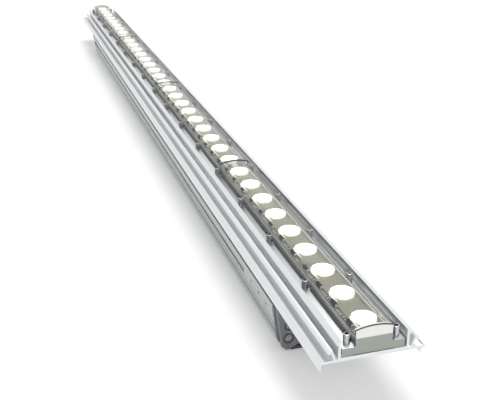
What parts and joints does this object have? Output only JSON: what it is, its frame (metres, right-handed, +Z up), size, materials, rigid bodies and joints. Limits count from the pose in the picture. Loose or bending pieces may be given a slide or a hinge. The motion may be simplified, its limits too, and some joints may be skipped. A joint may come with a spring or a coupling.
{
  "type": "outdoor wall washer light",
  "caption": "Long slim outdoor wall washer: an LED tray under a clear arched cover, on a slotted housing rail that tilts on two foot brackets.",
  "frame": {"origin": "under the middle of the tray's length and width, on the mounting surface", "axes": "+X along the lamp to the end nearest in the picture, +Z up out of the LEDs, pivot side at -Y"},
  "size_m": [1.2, 0.07, 0.062],
  "materials": {
    "anodised_aluminium": "satin anodised extrusion",
    "brushed_aluminium": "brushed, warm grey",
    "clear_polycarbonate": "clear moulded polycarbonate",
    "diffuser_acrylic": "lightly frosted acrylic",
    "led_lens": "milky silicone lens, lit",
    "led_phosphor": "yellow phosphor package",
    "white_board": "white solder mask",
    "green_board": "green solder mask",
    "chip_black": "moulded epoxy",
    "seal_rubber": "black EPDM",
    "pad_silicone": "grey thermal silicone",
    "white_plug": "white moulded plastic",
    "link_plastic": "white nylon",
    "stainless": "turned stainless steel",
    "dark_screw": "blackened steel",
    "cap_grey": "powder coated",
    "plate_grey": "powder coated casting",
    "foot_grey": "powder coated steel",
    "bearing_nylon": "natural nylon",
    "feed_plastic": "black nylon",
    "pin_brass": "bright",
    "driver_plastic": "grey moulded plastic",
    "driver_coil": "yellow taped coils and dark capacitors",
    "terminal_blue": "blue nylon"
  },
  "bodies": {
    "feet": {"foot_near": "foot_grey", "foot_far": "foot_grey", "pivot_screws": "stainless", "lock_screws": "stainless"},
    "lamp": {"tray": "anodised_aluminium", "tray_screws": "stainless", "module_carrier_1": "brushed_aluminium", "module_carrier_2": "brushed_aluminium", "module_carrier_3": "brushed_aluminium", "module_carrier_4": "brushed_aluminium", "led_board_1": "white_board", "led_board_2": "white_board", "led_board_3": "white_board", "led_board_4": "white_board", "led_chips_1": "led_phosphor", "led_chips_2": "led_phosphor", "led_chips_3": "led_phosphor", "led_chips_4": "led_phosphor", "led_optics_1": "led_lens", "led_optics_2": "led_lens", "led_optics_3": "led_lens", "led_optics_4": "led_lens", "board_parts_1": "chip_black", "board_parts_2": "chip_black", "board_parts_3": "chip_black", "board_parts_4": "chip_black", "diffuser_1": "diffuser_acrylic", "diffuser_2": "diffuser_acrylic", "diffuser_3": "diffuser_acrylic", "diffuser_4": "diffuser_acrylic", "clear_cover_1": "clear_polycarbonate", "clear_cover_2": "clear_polycarbonate", "clear_cover_3": "clear_polycarbonate", "clear_cover_4": "clear_polycarbonate", "end_plug_near": "white_plug", "end_plug_far": "white_plug", "joint_seals": "seal_rubber", "side_seals": "seal_rubber", "clamp_screws": "stainless", "thermal_pads": "pad_silicone", "board_links": "link_plastic", "feed_sleeve": "feed_plastic", "feed_pins": "pin_brass", "housing_rail": "anodised_aluminium", "rail_cap_near": "cap_grey", "rail_cap_far": "cap_grey", "cap_seals": "seal_rubber", "end_plate_near": "plate_grey", "end_plate_far": "plate_grey", "plate_spacers": "stainless", "plate_screws": "stainless", "pivot_bushes": "bearing_nylon", "clamp_strip": "anodised_aluminium", "strip_screws": "dark_screw", "driver_tray": "driver_plastic", "driver_board": "green_board", "driver_parts": "driver_coil", "terminal_block": "terminal_blue", "gland_body": "feed_plastic", "gland_nut": "feed_plastic"}
  },
  "joints": [
    {"name": "tilt", "type": "hinge", "parent": "feet", "child": "lamp", "pos_m": [0.026, -0.0252, 0.0093], "axis": [1, 0, 0], "range_deg": [0, 60]}
  ]
}
